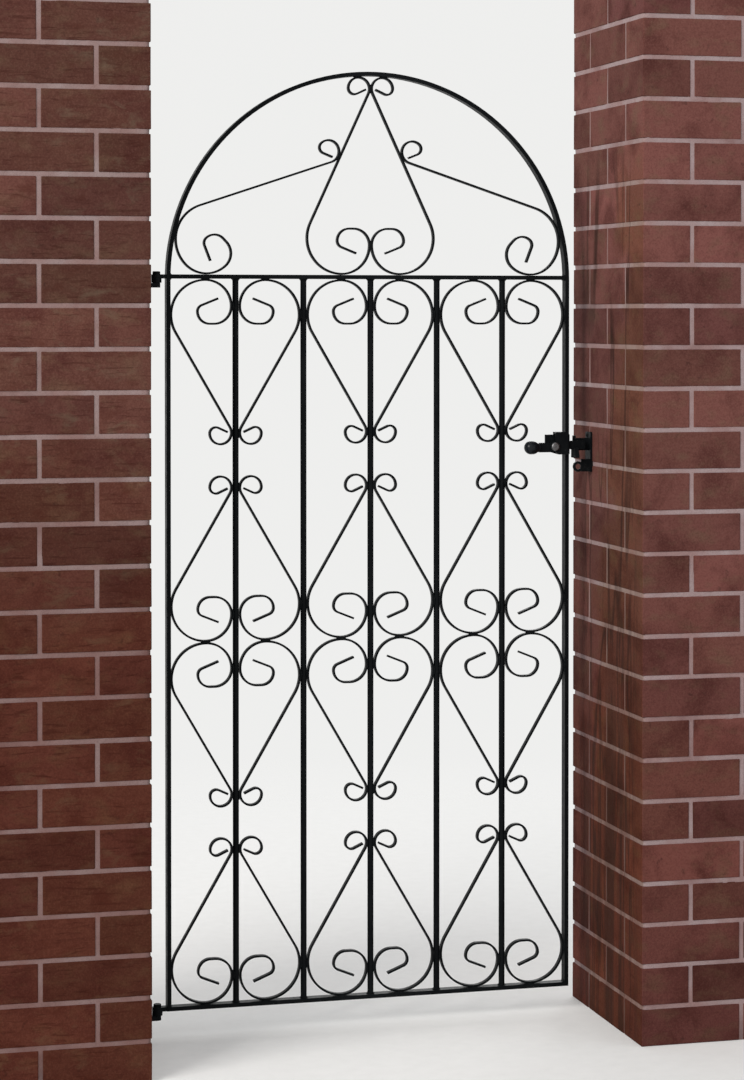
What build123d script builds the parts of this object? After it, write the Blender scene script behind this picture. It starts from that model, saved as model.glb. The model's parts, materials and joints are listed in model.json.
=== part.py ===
"""Tall bow-top garden gate of painted steel, hung between two square brick piers.

Millimetres. X runs across the opening from the hinge side to the latch side, Y
points away from the side that the latch is worked from, and Z is up. The origin
is on the ground, midway between the piers and midway through their depth.
"""

from build123d import *

import math
import os

os.makedirs("parts", exist_ok=True)

# Brickwork of the piers
brick_length = 200
brick_height = 69
mortar_joint = 10
pier_courses = 27

# Gate in its opening
gate_width = 819
gate_height = 1829
ground_gap = 50
hinge_gap = 83
latch_gap = 45
back_setback = 98

# Steel sections
frame_bar = 8
frame_depth = 20
infill_bar_d = 12
infill_bars = 5
strip_thickness = 4
strip_width = 10

# Clearance of a welded piece from what carries it
seat = 0.3

# Mid rail above the springing of the bow
rail_lift = 2

# Scroll pairs between the bars
scroll_rows = 4
facing_gap = 59
panel_outer_r = 68
panel_inner_r = 34
panel_hook_r = 24
panel_end_r = 13
panel_flat = 9
panel_tail = 35

# Larger scrolls under the bow
bow_outer_r = 70
bow_top_r = 56.5
bow_inner_r = 32.5
bow_hook_r = 24
bow_end_r = 13.5
bow_flat = 9
bow_tail = 32
side_strut_slope = 18.4

# Small curl at the other end of every scroll
small_r = 22
small_side_r = 21
small_end_r = 12
small_tail = 20
big_end_turn = 68
small_end_turn = 115

# Hinges
pin_d = 15
pin_play = 0.3
pin_proud = 6
pin_chamfer = 1
pin_offset = 18
eye_d = 20
eye_height = 16
eye_float = 0.5
stub_depth = 16
shank_height = 9
shank_depth = 15
wall_plate_t = 5
wall_plate_width = 40
wall_plate_height = 62

# Latch lever and its housing on the gate
latch_height = 1088
pivot_inset = 35
latch_plate_t = 4
lever_t = 8
lever_play = 1
arm_reach = 65
arm_above = 11
arm_below = 6
arm_corner_r = 3
neck_drop = 2
neck_height = 19
neck_length = 31
neck_blend = 9
knob_length = 31
knob_d = 27
knob_land = 3.5
knob_neck_d = 18
knob_swell = 0.63
tang_d = 8
tang_length = 14
tang_play = 0.1
pivot_d = 8
pivot_head_d = 17
pivot_head_t = 5
pivot_head_round = 3
pivot_tail_d = 13
pivot_tail_t = 4
pivot_play = 0.1
lever_bore_play = 0.3
cover_inset = 7
cover_width = 27
cover_above = 29
cover_below = 16
cover_boss_r = 10
cover_corner_r = 8
base_left = 16.5
base_above = 23.5
base_left_below = 8.5
base_slant = 26
plate_corner_r = 3

# Keeper on the latch pier
keeper_t = 4
keeper_width = 31
keeper_front = 22
keeper_above = 28
keeper_below = 52
catch_play = 3
catch_stile_gap = 5
catch_width = 8.5
catch_above = 21
catch_below = 23
catch_lip_overlap = 3
catch_lip_t = 3
catch_ramp = 7
catch_ramp_drop = 15
stop_width = 6
web_above = 16
web_below = 9
ring_r = 10.5
ring_hole_r = 5.5
ring_reach = 29.5
ring_drop = 41
lug_left = 6.5
lug_above = 15
lug_below = 10

# Overall layout worked out from the sizes above
pier_size = 2 * brick_length + mortar_joint
pier_height = pier_courses * (brick_height + mortar_joint) - mortar_joint
opening = hinge_gap + gate_width + latch_gap
gate_x = -opening / 2 + hinge_gap + gate_width / 2
gate_y = pier_size / 2 - back_setback
gate_bottom = ground_gap
gate_half = gate_width / 2
inner_half = gate_half - frame_bar
spring_z = gate_bottom + gate_height - gate_half
bottom_rail_top = gate_bottom + frame_bar
mid_rail_under = spring_z + rail_lift
mid_rail_top = mid_rail_under + frame_bar
clear_gap = (2 * inner_half - infill_bars * infill_bar_d) / (infill_bars + 1)
bar_pitch = clear_gap + infill_bar_d
bar_centres = [(i - (infill_bars - 1) / 2) * bar_pitch for i in range(infill_bars)]

# The gate's own plane, with x from its centre line and y as height
gate_plane = Plane(origin=(gate_x, gate_y, 0), x_dir=(1, 0, 0), z_dir=(0, -1, 0))


def upright(y):
    """Vertical plane at depth y, facing -Y, with x from the gate's centre line."""
    return Plane(origin=(gate_x, y, 0), x_dir=(1, 0, 0), z_dir=(0, -1, 0))


def save(part, name):
    """Label a finished piece and write it."""
    part.label = name
    export_step(part, f"parts/{name}.step")


# Piers: each is one mass of masonry, two bricks square
def pier(side, name):
    """Pier on one side of the opening, from the ground up."""
    centre_x = side * (opening + pier_size) / 2
    with BuildPart() as piece:
        with BuildSketch(Plane.XY):
            with Locations((centre_x, 0)):
                Rectangle(pier_size, pier_size)
        extrude(amount=pier_height)
    save(piece.part, name)


pier(-1, "left_pier")
pier(1, "right_pier")


# Frame of flat bar: stiles, bow and rails
def stile(side, name):
    """Upright flat bar at one edge of the gate, up to the springing."""
    middle = side * (gate_half - frame_bar / 2)
    with BuildPart() as piece:
        with BuildSketch(Plane.XY.offset(gate_bottom)):
            with Locations((gate_x + middle, gate_y)):
                Rectangle(frame_bar, frame_depth)
        extrude(amount=spring_z - gate_bottom)
    save(piece.part, name)


def rail(z_low, half_length, name):
    """Level flat bar between the two sides of the frame."""
    with BuildPart() as piece:
        with BuildSketch(Plane.XY.offset(z_low)):
            with Locations((gate_x, gate_y)):
                Rectangle(2 * half_length, frame_depth)
        extrude(amount=frame_bar)
    save(piece.part, name)


stile(-1, "hinge_stile")
stile(1, "latch_stile")
rail(gate_bottom, inner_half, "bottom_rail")

# The mid rail ends against the inside of the bow, a little above its springing
mid_rail_half = math.sqrt(inner_half**2 - (mid_rail_top - spring_z) ** 2) - seat
rail(mid_rail_under, mid_rail_half, "mid_rail")

with BuildPart() as bow_top:
    with BuildSketch(gate_plane):
        with BuildLine():
            outside = CenterArc((0, spring_z), gate_half, 0, 180)
            inside = CenterArc((0, spring_z), inner_half, 0, 180)
            Line(outside @ 0, inside @ 0)
            Line(outside @ 1, inside @ 1)
        make_face()
    extrude(amount=frame_depth / 2, both=True)
save(bow_top.part, "bow_top")

# Round infill bars between the two rails
for number, bar_x in enumerate(bar_centres, start=1):
    with BuildPart() as infill_bar:
        with BuildSketch(Plane.XY.offset(bottom_rail_top)):
            with Locations((gate_x + bar_x, gate_y)):
                Circle(infill_bar_d / 2)
        extrude(amount=mid_rail_under - bottom_rail_top)
    save(infill_bar.part, f"infill_bar_{number}")


# Scrolls of flat strip: a straight strut with a big curl and a small one
def bend(point, tangent, turn, steps):
    """Tangent arcs, each of a radius and an angle, followed by a straight."""
    for radius, angle, straight in steps:
        arc = JernArc(point, tangent, radius, turn * angle)
        point, tangent = arc @ 1, arc % 1
        if straight:
            run = Line(point, point + tangent * straight)
            point = run @ 1


def strut_lean(dx, dz, radii):
    """Lean from upright, in degrees, of the strut between two curls.

    dx and dz are the distances between the centres of the curls' first arcs,
    and radii is the sum of their radii: the strut crosses from one side to the
    other and touches both.
    """
    reach = math.hypot(dx, dz)
    return math.degrees(math.atan2(dx, dz) + math.asin(radii / reach))


def strut_length(dx, dz, radii):
    """Length of the strut between its two points of tangency."""
    return math.sqrt(dx**2 + dz**2 - radii**2)


def big_curl(lean, radii, flat, end_r, tail):
    """Steps of a big curl, from the strut in to its free end."""
    outer_r, top_r, inner_r, hook_r = radii
    return [
        (outer_r, 90 + lean, 0),
        (top_r, 90, 0),
        (inner_r, 90, flat),
        (hook_r, 90, 0),
        (end_r, big_end_turn, tail),
    ]


def small_curl(lean):
    """Steps of a small curl, from the strut in to its free end."""
    return [
        (small_r, 90 + lean, 0),
        (small_side_r, 90, 0),
        (small_end_r, small_end_turn, small_tail),
    ]


def polar(length, angle):
    """Vector of a length in a direction given in degrees."""
    return Vector(length * math.cos(math.radians(angle)), length * math.sin(math.radians(angle)))


def scroll_piece(name, scrolls):
    """One node of scrolls bent from strip, each given by its strut and curls."""
    with BuildPart() as piece:
        for shoulder, heading, length, turn, big, small in scrolls:
            along = polar(1, heading)
            foot = shoulder - along * length
            with BuildSketch(gate_plane):
                with BuildLine():
                    Line(foot, shoulder)
                    bend(shoulder, along, turn, big)
                    bend(foot, -along, turn, small)
                trace(line_width=strip_thickness)
            extrude(amount=strip_width / 2, both=True)
    save(piece.part, name)


# Centre line of a strip that is seated against a face
off_face = seat + strip_thickness / 2

# Panel scrolls: they fill the height between the rails in twos, with their small curls
# facing each other over a gap, and twos share the seat where their big curls meet
twos = scroll_rows // 2
two_pitch = (mid_rail_under - bottom_rail_top - seat) / twos
two_height = two_pitch + seat
scroll_height = (two_height - facing_gap) / 2 - seat
panel_span = clear_gap - 2 * off_face
panel_rise = scroll_height - strip_thickness
panel_radii = panel_outer_r + small_r
panel_dx = panel_span - panel_radii
panel_dz = panel_rise - panel_radii
panel_lean = strut_lean(panel_dx, panel_dz, panel_radii)
panel_strut = strut_length(panel_dx, panel_dz, panel_radii)
panel_curl_radii = (panel_outer_r, panel_span - panel_outer_r, panel_inner_r, panel_hook_r)
panel_big = big_curl(panel_lean, panel_curl_radii, panel_flat, panel_end_r, panel_tail)
panel_small = small_curl(panel_lean)


def panel_scroll(bar_x, side, big_end_z, up):
    """Scroll beside a bar: side is 1 to its right, up is 1 where the big curl is on top.

    big_end_z is the height of the face that the big curl is seated against.
    """
    centre_x = bar_x + side * (infill_bar_d / 2 + off_face + panel_span - panel_outer_r)
    centre_z = big_end_z - up * (off_face + panel_outer_r)
    normal = polar(panel_outer_r, panel_lean)
    shoulder = Vector(centre_x + side * normal.X, centre_z - up * normal.Y)
    lean = polar(1, 90 - panel_lean)
    heading = math.degrees(math.atan2(up * lean.Y, side * lean.X))
    return (shoulder, heading, panel_strut, side * up, panel_big, panel_small)


# Rows in order from the top: the big curl is on top in the upper row of each two
for column, bar_x in enumerate(bar_centres[::2], start=1):
    for row in range(scroll_rows):
        two_top = mid_rail_under - (row // 2) * two_pitch
        up, face_z = (1, two_top) if row % 2 == 0 else (-1, two_top - two_height)
        pair = [panel_scroll(bar_x, side, face_z, up) for side in (-1, 1)]
        scroll_piece(f"scroll_pair_{column}_{row + 1}", pair)

# Spade under the middle of the bow: two mirrored scrolls, back to back
middle_off = seat / 2 + strip_thickness / 2
bow_span = bow_outer_r + bow_top_r
spade_radii = bow_outer_r + small_r
bow_reach = inner_half - off_face
spade_small_x = middle_off + small_r
spade_small_z = spring_z + math.sqrt((bow_reach - small_r) ** 2 - spade_small_x**2)
spade_big_x = middle_off + bow_span - bow_outer_r
spade_big_z = mid_rail_top + off_face + bow_outer_r
spade_dx = spade_big_x - spade_small_x
spade_dz = spade_small_z - spade_big_z
spade_lean = strut_lean(spade_dx, spade_dz, spade_radii)
spade_strut = strut_length(spade_dx, spade_dz, spade_radii)
bow_curl_radii = (bow_outer_r, bow_top_r, bow_inner_r, bow_hook_r)
spade_big = big_curl(spade_lean, bow_curl_radii, bow_flat, bow_end_r, bow_tail)
spade_small = small_curl(spade_lean)
spade_normal = polar(bow_outer_r, spade_lean)
spade_shoulder_x = spade_big_x + spade_normal.X
spade_shoulder_z = spade_big_z + spade_normal.Y

for side, name in ((-1, "spade_scroll_left"), (1, "spade_scroll_right")):
    shoulder = Vector(side * spade_shoulder_x, spade_shoulder_z)
    lean = polar(1, 90 - spade_lean)
    heading = math.degrees(math.atan2(-lean.Y, side * lean.X))
    scroll_piece(name, [(shoulder, heading, spade_strut, -side, spade_big, spade_small)])

# Side scrolls: the same bends, turned over so that the big curl sits in the corner of
# rail and bow, and the small one leans on the spade. Worked out for the left side.
side_heading = 180 + side_strut_slope
top_normal = polar(1, side_heading + 90 + spade_lean + 90)
side_big_z = mid_rail_top + off_face + bow_top_r + (bow_outer_r - bow_top_r) * top_normal.Y
side_big_x = -math.sqrt((bow_reach - bow_outer_r) ** 2 - (side_big_z - spring_z) ** 2)
side_shoulder = Vector(side_big_x, side_big_z) - polar(bow_outer_r, side_heading + 90)

# The strut ends where the small curl comes up against the spade's strut
side_along = polar(1, side_heading + 180)
small_start = side_shoulder + polar(small_r, side_heading - 90)
spade_point = Vector(-spade_shoulder_x, spade_shoulder_z)
spade_face = polar(1, 180 - spade_lean)
small_gap = small_r + strip_thickness + seat
side_strut = (small_gap - (small_start - spade_point).dot(spade_face)) / side_along.dot(spade_face)

for side, name in ((1, "side_scroll_left"), (-1, "side_scroll_right")):
    shoulder = Vector(side * side_shoulder.X, side_shoulder.Y)
    heading = side_heading if side == 1 else 180 - side_heading
    scroll_piece(name, [(shoulder, heading, side_strut, side, spade_big, spade_small)])

# Hinges: an eye on the gate turns on the pin of a hook, whose plate is on the pier
pin_x = gate_x - gate_half - pin_offset
pier_face_x = opening / 2


def hinge(eye_top, which):
    """One hinge: eye, hook and wall plate, hung at the height of a rail's top."""
    eye_bottom = eye_top - eye_height
    shank_top = eye_bottom - eye_float
    shank_z = shank_top - shank_height / 2
    plate_face_x = -pier_face_x + wall_plate_t

    with BuildPart() as eye:
        with BuildSketch(Plane.XY.offset(eye_bottom)):
            with Locations((pin_x, gate_y)):
                Circle(eye_d / 2)
        extrude(amount=eye_height)
        with BuildSketch(Plane.XY.offset(eye_top)):
            with Locations((pin_x + pin_offset / 2, gate_y)):
                Rectangle(pin_offset, stub_depth)
        extrude(amount=-frame_bar)
        with BuildSketch(Plane.XY.offset(eye_bottom)):
            with Locations((pin_x, gate_y)):
                Circle(pin_d / 2 + pin_play)
        extrude(amount=eye_height, mode=Mode.SUBTRACT)
    save(eye.part, f"hinge_eye_{which}")

    with BuildPart() as hook:
        with BuildSketch(Plane.XY.offset(shank_top - shank_height)):
            with Locations((pin_x, gate_y)):
                Circle(pin_d / 2)
        extrude(amount=shank_height + eye_float + eye_height + pin_proud)
        chamfer(hook.faces().sort_by(Axis.Z)[-1].edges(), length=pin_chamfer)
        with BuildSketch(Plane.YZ.offset(plate_face_x)):
            with Locations((gate_y, shank_z)):
                Rectangle(shank_depth, shank_height)
        extrude(amount=pin_x - plate_face_x)
    save(hook.part, f"hinge_hook_{which}")

    with BuildPart() as wall_plate:
        with BuildSketch(Plane.YZ.offset(-pier_face_x)):
            with Locations((gate_y, shank_z)):
                RectangleRounded(wall_plate_width, wall_plate_height, plate_corner_r)
        extrude(amount=wall_plate_t)
    save(wall_plate.part, f"hinge_plate_{which}")


hinge(mid_rail_top, "upper")
hinge(bottom_rail_top, "lower")

# Latch: depths from the front face of the stile towards -Y
pivot_x = gate_half - pivot_inset
pivot_z = gate_bottom + latch_height
base_back_y = gate_y - frame_depth / 2
base_front_y = base_back_y - latch_plate_t
lever_back_y = base_front_y - lever_play
lever_mid_y = lever_back_y - lever_t / 2
lever_front_y = lever_back_y - lever_t
cover_back_y = lever_front_y - lever_play
cover_front_y = cover_back_y - latch_plate_t
cover_top = pivot_z + cover_above
cover_left_x = gate_half - cover_inset - cover_width
base_low = pivot_z - cover_below

with BuildPart() as latch_housing:
    # Base plate, welded to the front of the stile
    with BuildSketch(upright(base_back_y)):
        with BuildLine():
            Polyline(
                (pivot_x - base_left, pivot_z - base_left_below),
                (pivot_x - base_left + base_slant, base_low),
                (gate_half, base_low),
                (gate_half, pivot_z + base_above),
                (pivot_x - base_left, pivot_z + base_above),
                close=True,
            )
        make_face()
    extrude(amount=latch_plate_t)
    # Top of the housing, folded forward
    with BuildSketch(upright(base_back_y)):
        with Locations((cover_left_x + cover_width / 2, cover_top - latch_plate_t / 2)):
            Rectangle(cover_width, latch_plate_t)
    extrude(amount=base_back_y - cover_front_y)
    with BuildSketch(upright(base_back_y)):
        with Locations((cover_left_x + cover_width / 2, (cover_top + pivot_z) / 2)):
            Rectangle(cover_width, cover_above)
    extrude(amount=latch_plate_t)
    # Cheek in front of the lever, rounded out around the pivot
    with BuildSketch(upright(cover_back_y)) as cheek:
        with Locations((cover_left_x + cover_width / 2, (cover_top + base_low) / 2)):
            Rectangle(cover_width, cover_top - base_low)
        low_corners = cheek.vertices().group_by(Axis.Y)[0].sort_by(Axis.X)
        fillet(low_corners[0], radius=cover_corner_r)
        fillet(low_corners[1], radius=plate_corner_r)
        with Locations((pivot_x, pivot_z)):
            Circle(cover_boss_r)
    extrude(amount=latch_plate_t)
    # Hole for the pivot through both plates
    with BuildSketch(upright(base_back_y)):
        with Locations((pivot_x, pivot_z)):
            Circle(pivot_d / 2 + pivot_play)
    extrude(amount=base_back_y - cover_front_y, mode=Mode.SUBTRACT)
save(latch_housing.part, "latch_housing")

with BuildPart() as latch_pivot:
    with BuildSketch(upright(base_back_y)):
        with Locations((pivot_x, pivot_z)):
            Circle(pivot_d / 2)
    extrude(amount=base_back_y - cover_front_y)
    with BuildSketch(upright(cover_front_y)):
        with Locations((pivot_x, pivot_z)):
            Circle(pivot_head_d / 2)
    extrude(amount=pivot_head_t)
    fillet(latch_pivot.faces().sort_by(Axis.Y)[0].edges(), radius=pivot_head_round)
    with BuildSketch(upright(base_back_y)):
        with Locations((pivot_x, pivot_z)):
            Circle(pivot_tail_d / 2)
    extrude(amount=-pivot_tail_t)
save(latch_pivot.part, "latch_pivot")

# Lever: a tall arm that drops into the keeper, and a neck with a tang for the knob
arm_end_x = pivot_x + arm_reach
neck_end_x = pivot_x - neck_length
neck_half = neck_height / 2
neck_z = pivot_z - neck_drop

with BuildPart() as lever_bar:
    with BuildSketch(upright(lever_back_y)) as outline:
        with BuildLine():
            Polyline(
                (neck_end_x, neck_z - neck_half),
                (pivot_x + neck_blend, neck_z - neck_half),
                (pivot_x + 2 * neck_blend, pivot_z - arm_below),
                (arm_end_x, pivot_z - arm_below),
                (arm_end_x, pivot_z + arm_above),
                (pivot_x, pivot_z + arm_above),
                (pivot_x - neck_blend, neck_z + neck_half),
                (neck_end_x, neck_z + neck_half),
                close=True,
            )
        make_face()
        arm_corners = outline.vertices().group_by(Axis.X)[-1]
        fillet(arm_corners, radius=arm_corner_r)
        with Locations((pivot_x, pivot_z)):
            Circle(pivot_d / 2 + lever_bore_play, mode=Mode.SUBTRACT)
    extrude(amount=lever_t)
    with BuildSketch(Plane.YZ.offset(gate_x + neck_end_x)):
        with Locations((lever_mid_y, neck_z)):
            Circle(tang_d / 2)
    extrude(amount=-tang_length)
save(lever_bar.part, "lever_bar")

# Knob: a long ball on a neck, joined by two arcs that meet on the line between their ends
ball_r = knob_d / 2
knob_end_x = neck_end_x - knob_length
ball_x = knob_end_x + ball_r
ball_top = Vector(ball_x, neck_z + ball_r)
land_end = ball_top + Vector(knob_land, 0)
knob_neck_top = Vector(neck_end_x, neck_z + knob_neck_d / 2)
swell_point = land_end + (knob_neck_top - land_end) * knob_swell

with BuildPart() as lever_knob:
    with BuildSketch(upright(lever_mid_y)):
        with BuildLine():
            Line((neck_end_x, neck_z), knob_neck_top)
            TangentArc(knob_neck_top, swell_point, tangent=(-1, 0))
            TangentArc(land_end, swell_point, tangent=(1, 0))
            Line(ball_top, land_end)
            CenterArc((ball_x, neck_z), ball_r, 90, 90)
            Line((knob_end_x, neck_z), (neck_end_x, neck_z))
        make_face()
    revolve(axis=Axis((gate_x, lever_mid_y, neck_z), (1, 0, 0)))
    with BuildSketch(Plane.YZ.offset(gate_x + neck_end_x)):
        with Locations((lever_mid_y, neck_z)):
            Circle(tang_d / 2 + tang_play)
    extrude(amount=-(tang_length + seat), mode=Mode.SUBTRACT)
save(lever_knob.part, "lever_knob")

# Keeper on the latch pier: the arm lies in its catch, and a ring below takes a padlock
keeper_face_x = gate_half + latch_gap
catch_x = gate_half + catch_stile_gap
catch_right_x = catch_x + catch_width
catch_front_y = lever_back_y + catch_play
catch_back_y = catch_front_y + keeper_t
catch_lip_y = lever_front_y - catch_play
catch_nose_y = catch_lip_y - catch_lip_t - catch_ramp
catch_floor = pivot_z - arm_below - seat
catch_low = pivot_z - catch_below
lip_top = catch_floor + catch_lip_overlap
keeper_front_y = gate_y - keeper_front
ring_x = keeper_face_x - ring_reach
ring_z = pivot_z - ring_drop
lug_x = ring_x + lug_left

with BuildPart() as latch_keeper:
    # Plate on the pier's inner face
    with BuildSketch(Plane.YZ.offset(gate_x + keeper_face_x)):
        with Locations((keeper_front_y + keeper_width / 2, pivot_z + (keeper_above - keeper_below) / 2)):
            RectangleRounded(keeper_width, keeper_above + keeper_below, plate_corner_r)
    extrude(amount=-keeper_t)
    # Web behind the arm, with the taller stop at its end
    with BuildSketch(upright(catch_back_y)):
        with BuildLine():
            Polyline(
                (keeper_face_x, pivot_z - web_below),
                (keeper_face_x, pivot_z + web_above),
                (catch_right_x, pivot_z + web_above),
                (catch_right_x, pivot_z + catch_above),
                (catch_right_x - stop_width, pivot_z + catch_above),
                (catch_right_x - stop_width, pivot_z - web_below),
                close=True,
            )
        make_face()
    extrude(amount=keeper_t)
    # Catch under the arm: a floor with a low lip, and a ramp that lifts the closing arm
    with BuildSketch(Plane.YZ.offset(gate_x + catch_x)):
        with BuildLine():
            Polyline(
                (catch_back_y, catch_low),
                (catch_back_y, catch_floor),
                (catch_lip_y, catch_floor),
                (catch_lip_y, lip_top),
                (catch_lip_y - catch_lip_t, lip_top),
                (catch_nose_y, lip_top - catch_ramp_drop),
                (catch_nose_y, catch_low),
                close=True,
            )
        make_face()
    extrude(amount=catch_width)
    # Padlock ring on a lug from the front edge of the plate
    with BuildSketch(upright(keeper_front_y + keeper_t)):
        with Locations((ring_x, ring_z)):
            Circle(ring_r)
        with Locations(((lug_x + keeper_face_x) / 2, ring_z + (lug_above - lug_below) / 2)):
            Rectangle(keeper_face_x - lug_x, lug_above + lug_below)
        with Locations((ring_x, ring_z)):
            Circle(ring_hole_r, mode=Mode.SUBTRACT)
    extrude(amount=keeper_t)
save(latch_keeper.part, "latch_keeper")
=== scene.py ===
from collections import namedtuple
import json
import math
import random

import bmesh
import bpy
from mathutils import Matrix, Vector, noise
from mathutils.bvhtree import BVHTree


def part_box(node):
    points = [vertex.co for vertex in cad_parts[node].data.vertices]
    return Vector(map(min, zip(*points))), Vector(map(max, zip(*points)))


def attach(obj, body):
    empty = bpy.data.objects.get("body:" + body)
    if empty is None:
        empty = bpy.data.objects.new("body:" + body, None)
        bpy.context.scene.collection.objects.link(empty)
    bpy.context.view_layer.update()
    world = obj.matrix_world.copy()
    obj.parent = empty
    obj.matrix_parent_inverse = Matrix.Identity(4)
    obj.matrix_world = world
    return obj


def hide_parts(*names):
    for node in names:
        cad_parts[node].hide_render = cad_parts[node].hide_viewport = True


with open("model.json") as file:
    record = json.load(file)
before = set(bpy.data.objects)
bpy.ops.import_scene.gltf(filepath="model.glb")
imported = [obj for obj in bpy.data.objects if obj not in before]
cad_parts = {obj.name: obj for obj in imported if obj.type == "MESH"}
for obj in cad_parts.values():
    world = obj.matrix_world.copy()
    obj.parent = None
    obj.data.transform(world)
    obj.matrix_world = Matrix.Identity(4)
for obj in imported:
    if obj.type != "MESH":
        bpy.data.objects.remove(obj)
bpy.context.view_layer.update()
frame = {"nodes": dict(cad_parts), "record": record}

nodes = frame["nodes"]
scene = bpy.context.scene
MM = 0.001

# Brickwork: piers two bricks square, in courses of 79 mm
pier_low, pier_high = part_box("right_pier")
COURSE = 79 * MM
JOINT = 7.5 * MM
BRICK_LENGTH = (pier_high.x - pier_low.x - JOINT) / 2
BRICK_WIDTH = (BRICK_LENGTH - JOINT) / 2
BRICK_HEIGHT = COURSE - JOINT
BRICK_SLACK = 0.6 * MM
BRICK_GRID = 30 * MM
ARRIS = 1.4 * MM
HOLLOW_DEPTH, HOLLOWS_PER_METRE = 0.7 * MM, 22.0
EDGE_WEAR = 0.9 * MM
CHIP_DEPTH, CHIPS_PER_METRE = 2.6 * MM, 70.0
CHIP_LEVEL = 0.38

# Each brick draws a tone, from brown to red, and a shade, from dark to light and lighter higher up
DRAW_SEED = {"left_pier": 10, "right_pier": 12}
MEAN_TONE = {"left_pier": 0.30, "right_pier": 0.64}
TONE_SPREAD = 0.15
MEAN_SHADE, SHADE_SPREAD, SHADE_RISE = 0.5, 0.2, 0.2

# Mortar: set back from the bricks' faces, and rougher than they are
JOINT_DEPTH = 2.0 * MM
CORNER_WEAR = 2.2 * MM
LUMP_HEIGHT, LUMPS_PER_METRE = 0.9 * MM, 45.0
SAND_HEIGHT, SAND_PER_METRE = 0.6 * MM, 130.0

# Mesh of the mortar: its foot, its spans across, the strips at a bed's edges, and what counts as on a face
MORTAR_FOOT = 1 * MM
MORTAR_SPANS = 50
BED_EDGE = 2 * MM
ON_FACE = 0.1 * MM

# Middle plane of the gate, and half the depth of its curled strips
strip_low, strip_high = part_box("scroll_pair_1_1")
GATE_Y = (strip_low.y + strip_high.y) / 2
STRIP_HALF = (strip_high.y - strip_low.y) / 2

# Welds: how near two pieces are seated, and how far apart two seats and two beads are at least
SEAT_REACH = 0.8 * MM
SEAT_SPACING = 22 * MM
BEAD_SPACING = 12 * MM

# Beads on the frame and on the bars: half their length, and how far they stand out of the strips' faces
FRAME_BEAD = (8.0 * MM, 0.2 * MM)
BAR_BEAD = (9.0 * MM, -0.9 * MM)

# All beads: half their thickness, and their shift towards the neighbour
BEAD_THICK = 2.3 * MM
BEAD_SHIFT = 0.4 * MM

# Fillets on and under a rail's ends: half their length, and how far in from the end they lie
TOP_FILLET, TOP_FILLET_IN = 9.4 * MM, 0.6 * MM

# Fillets at a rail's faces: half their length and thickness, and how far from the middle plane they lie
FACE_FILLET, FACE_FILLET_THICK, FACE_FILLET_OUT = 4.2 * MM, 1.2 * MM, 9.6 * MM

# Screws: size of the head, and how far from the hinge plates' ends they stand
SCREW_RADIUS, SCREW_HEIGHT = 4.6 * MM, 2.6 * MM
HINGE_SCREW_IN = 10 * MM

# Keeper: thickness of its plate, and how far from its top, its foot and the middle plane its screws stand
KEEPER_PLATE = 4 * MM
KEEPER_SCREW_TOP, KEEPER_SCREW_FOOT, KEEPER_SCREW_OUT = 7.5 * MM, 8 * MM, 2 * MM

# Black paint, from fresh to worn, and the dust on it
BLACK, WORN_BLACK = (0.0045, 0.0055, 0.0065), (0.009, 0.0105, 0.0115)
DUST = (0.045, 0.046, 0.044)

# Fired clay: the ends of its tones, and what lies over them
BROWN_CLAY, RED_CLAY = (0.093, 0.039, 0.027), (0.212, 0.077, 0.066)
PURPLE = (0.140, 0.047, 0.047)
BLOTCH = (0.086, 0.027, 0.023)
OLIVE = (0.155, 0.090, 0.058)
BURN = (0.040, 0.018, 0.015)
PALE_SPECKLE, DARK_SPECKLE = (0.235, 0.115, 0.090), (0.055, 0.020, 0.016)
DRAG_MARK = (0.050, 0.024, 0.019)
PALE_SMEAR, RED_SMEAR = (0.170, 0.120, 0.084), (0.085, 0.026, 0.018)
TEAR = (0.062, 0.018, 0.013)

# Mortar and what lies over it
PALE_MORTAR, PINK_MORTAR = (0.43, 0.33, 0.33), (0.37, 0.235, 0.225)
GRIT = (0.22, 0.145, 0.135)
BRICK_DUST = (0.21, 0.10, 0.09)
SOOT = (0.82, 0.76, 0.72)

# Weathering and painted shade: tints of the hinge pier, of dampness at the foot with painted shadow on the
# hinge pier, and of stain, then the share and colour of the dark lines, partly painted shadow lines and
# partly run-off streaks
BRICK_WEATHER_AND_SHADE = (((0.95, 0.94, 0.90), (0.80, 0.60, 0.50), (0.88, 0.87, 0.67)), 0.8, (0.028, 0.0125, 0.0085))
MORTAR_WEATHER_AND_SHADE = (((0.82, 0.79, 0.76), (0.76, 0.70, 0.69), (0.84, 0.80, 0.70)), 0.55, (0.075, 0.042, 0.034))

# Gloss of the black paint, of the latch's knob, and of bricks and mortar
PAINT_SPECULAR = 0.045
KNOB_SPECULAR = 0.2
MASONRY_SPECULAR = 0.08

# Middle of the latch's pivot, which its turned rings go round
pivot_low, pivot_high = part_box("latch_pivot")
pivot_middle = (pivot_low + pivot_high) / 2


# Node helpers
def new_material(name):
    """Material with its node tree, its shader and object coordinates."""
    made = bpy.data.materials.new(name)
    made.use_nodes = True
    tree = made.node_tree
    shader = tree.nodes["Principled BSDF"]
    place = tree.nodes.new("ShaderNodeTexCoord").outputs["Object"]
    return made, tree, shader, place


def stretched(tree, place, scale):
    """Coordinates scaled by a different amount along each axis."""
    mapping = tree.nodes.new("ShaderNodeMapping")
    mapping.inputs["Scale"].default_value = scale
    tree.links.new(place, mapping.inputs["Vector"])
    return mapping.outputs["Vector"]


def axis_parts(tree, vector):
    """X, Y and Z of a vector."""
    split = tree.nodes.new("ShaderNodeSeparateXYZ")
    tree.links.new(vector, split.inputs["Vector"])
    return split.outputs["X"], split.outputs["Y"], split.outputs["Z"]


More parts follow.
